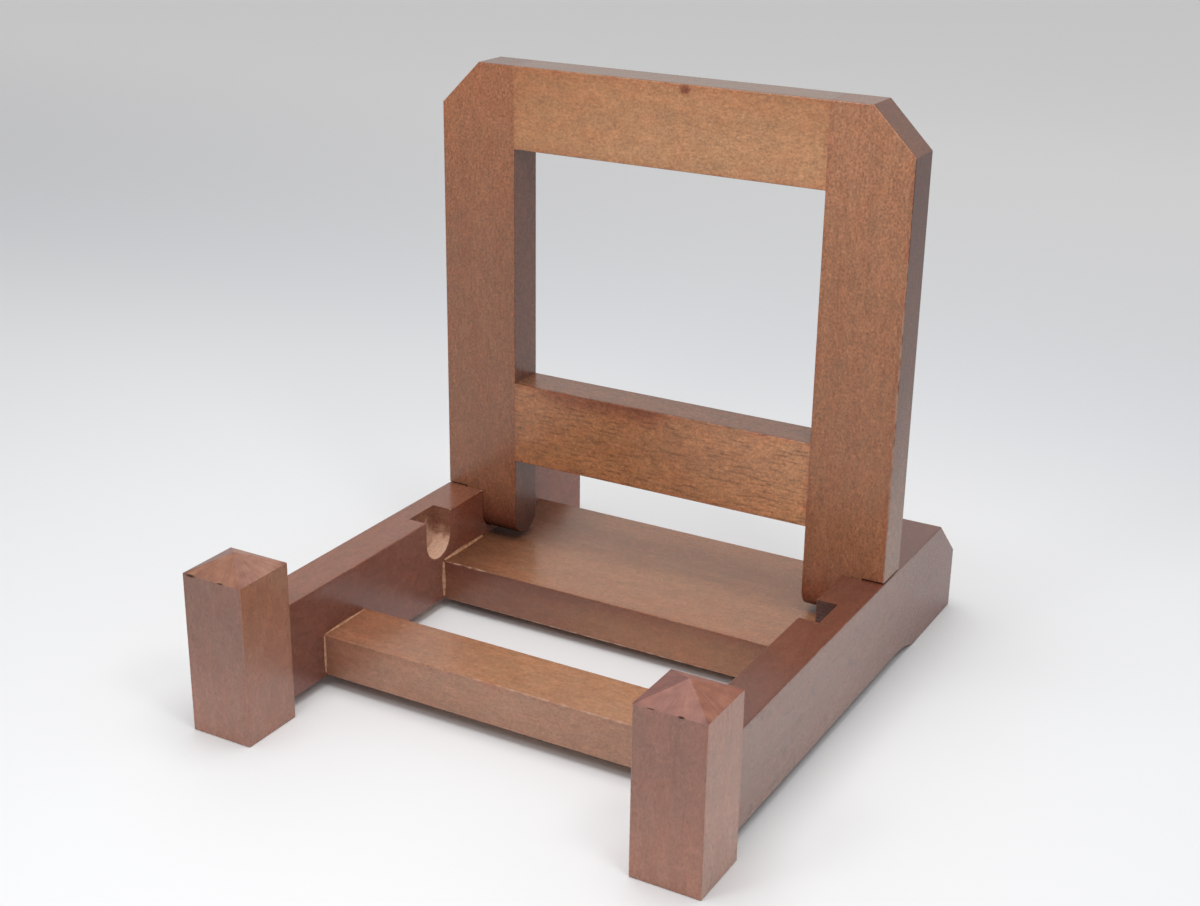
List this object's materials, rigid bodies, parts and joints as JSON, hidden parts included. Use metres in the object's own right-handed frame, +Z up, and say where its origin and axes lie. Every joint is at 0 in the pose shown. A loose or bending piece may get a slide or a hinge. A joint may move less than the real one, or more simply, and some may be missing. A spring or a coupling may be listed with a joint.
{
  "type": "plate display stand",
  "caption": "Stained wooden display stand: a low base with two front posts holds a plate's rim, and a lift-out back frame in one of two pairs of housings holds it up.",
  "frame": {"origin": "middle of the footprint, on the surface the stand is on", "axes": "+Z up; -Y is the front, where the two posts are and the plate faces; +X to the right as seen from the front"},
  "size_m": [0.2382, 0.28, 0.2559],
  "materials": {
    "red_brown_stained_wood": "satin lacquer over a red-brown stain, fine pores",
    "golden_brown_stained_wood": "satin lacquer over a lighter golden-brown stain, fine pores",
    "dowel_wood": "raw turned hardwood, glued"
  },
  "bodies": {
    "base": {"left_front_post": "red_brown_stained_wood", "right_front_post": "red_brown_stained_wood", "left_side_rail": "red_brown_stained_wood", "right_side_rail": "red_brown_stained_wood", "cross_rail": "golden_brown_stained_wood", "base_board": "golden_brown_stained_wood", "left_post_dowels": "dowel_wood", "right_post_dowels": "dowel_wood", "left_cross_rail_dowels": "dowel_wood", "right_cross_rail_dowels": "dowel_wood", "left_board_dowels": "dowel_wood", "right_board_dowels": "dowel_wood"},
    "back_frame": {"left_stile": "red_brown_stained_wood", "right_stile": "red_brown_stained_wood", "top_rail": "golden_brown_stained_wood", "mid_rail": "golden_brown_stained_wood", "left_top_rail_dowels": "dowel_wood", "right_top_rail_dowels": "dowel_wood", "left_mid_rail_dowels": "dowel_wood", "right_mid_rail_dowels": "dowel_wood"}
  },
  "joints": [
    {"name": "frame_lift", "type": "slide", "parent": "base", "child": "back_frame", "axis": [0, 0, 1], "range_m": [0, 0.04]}
  ]
}
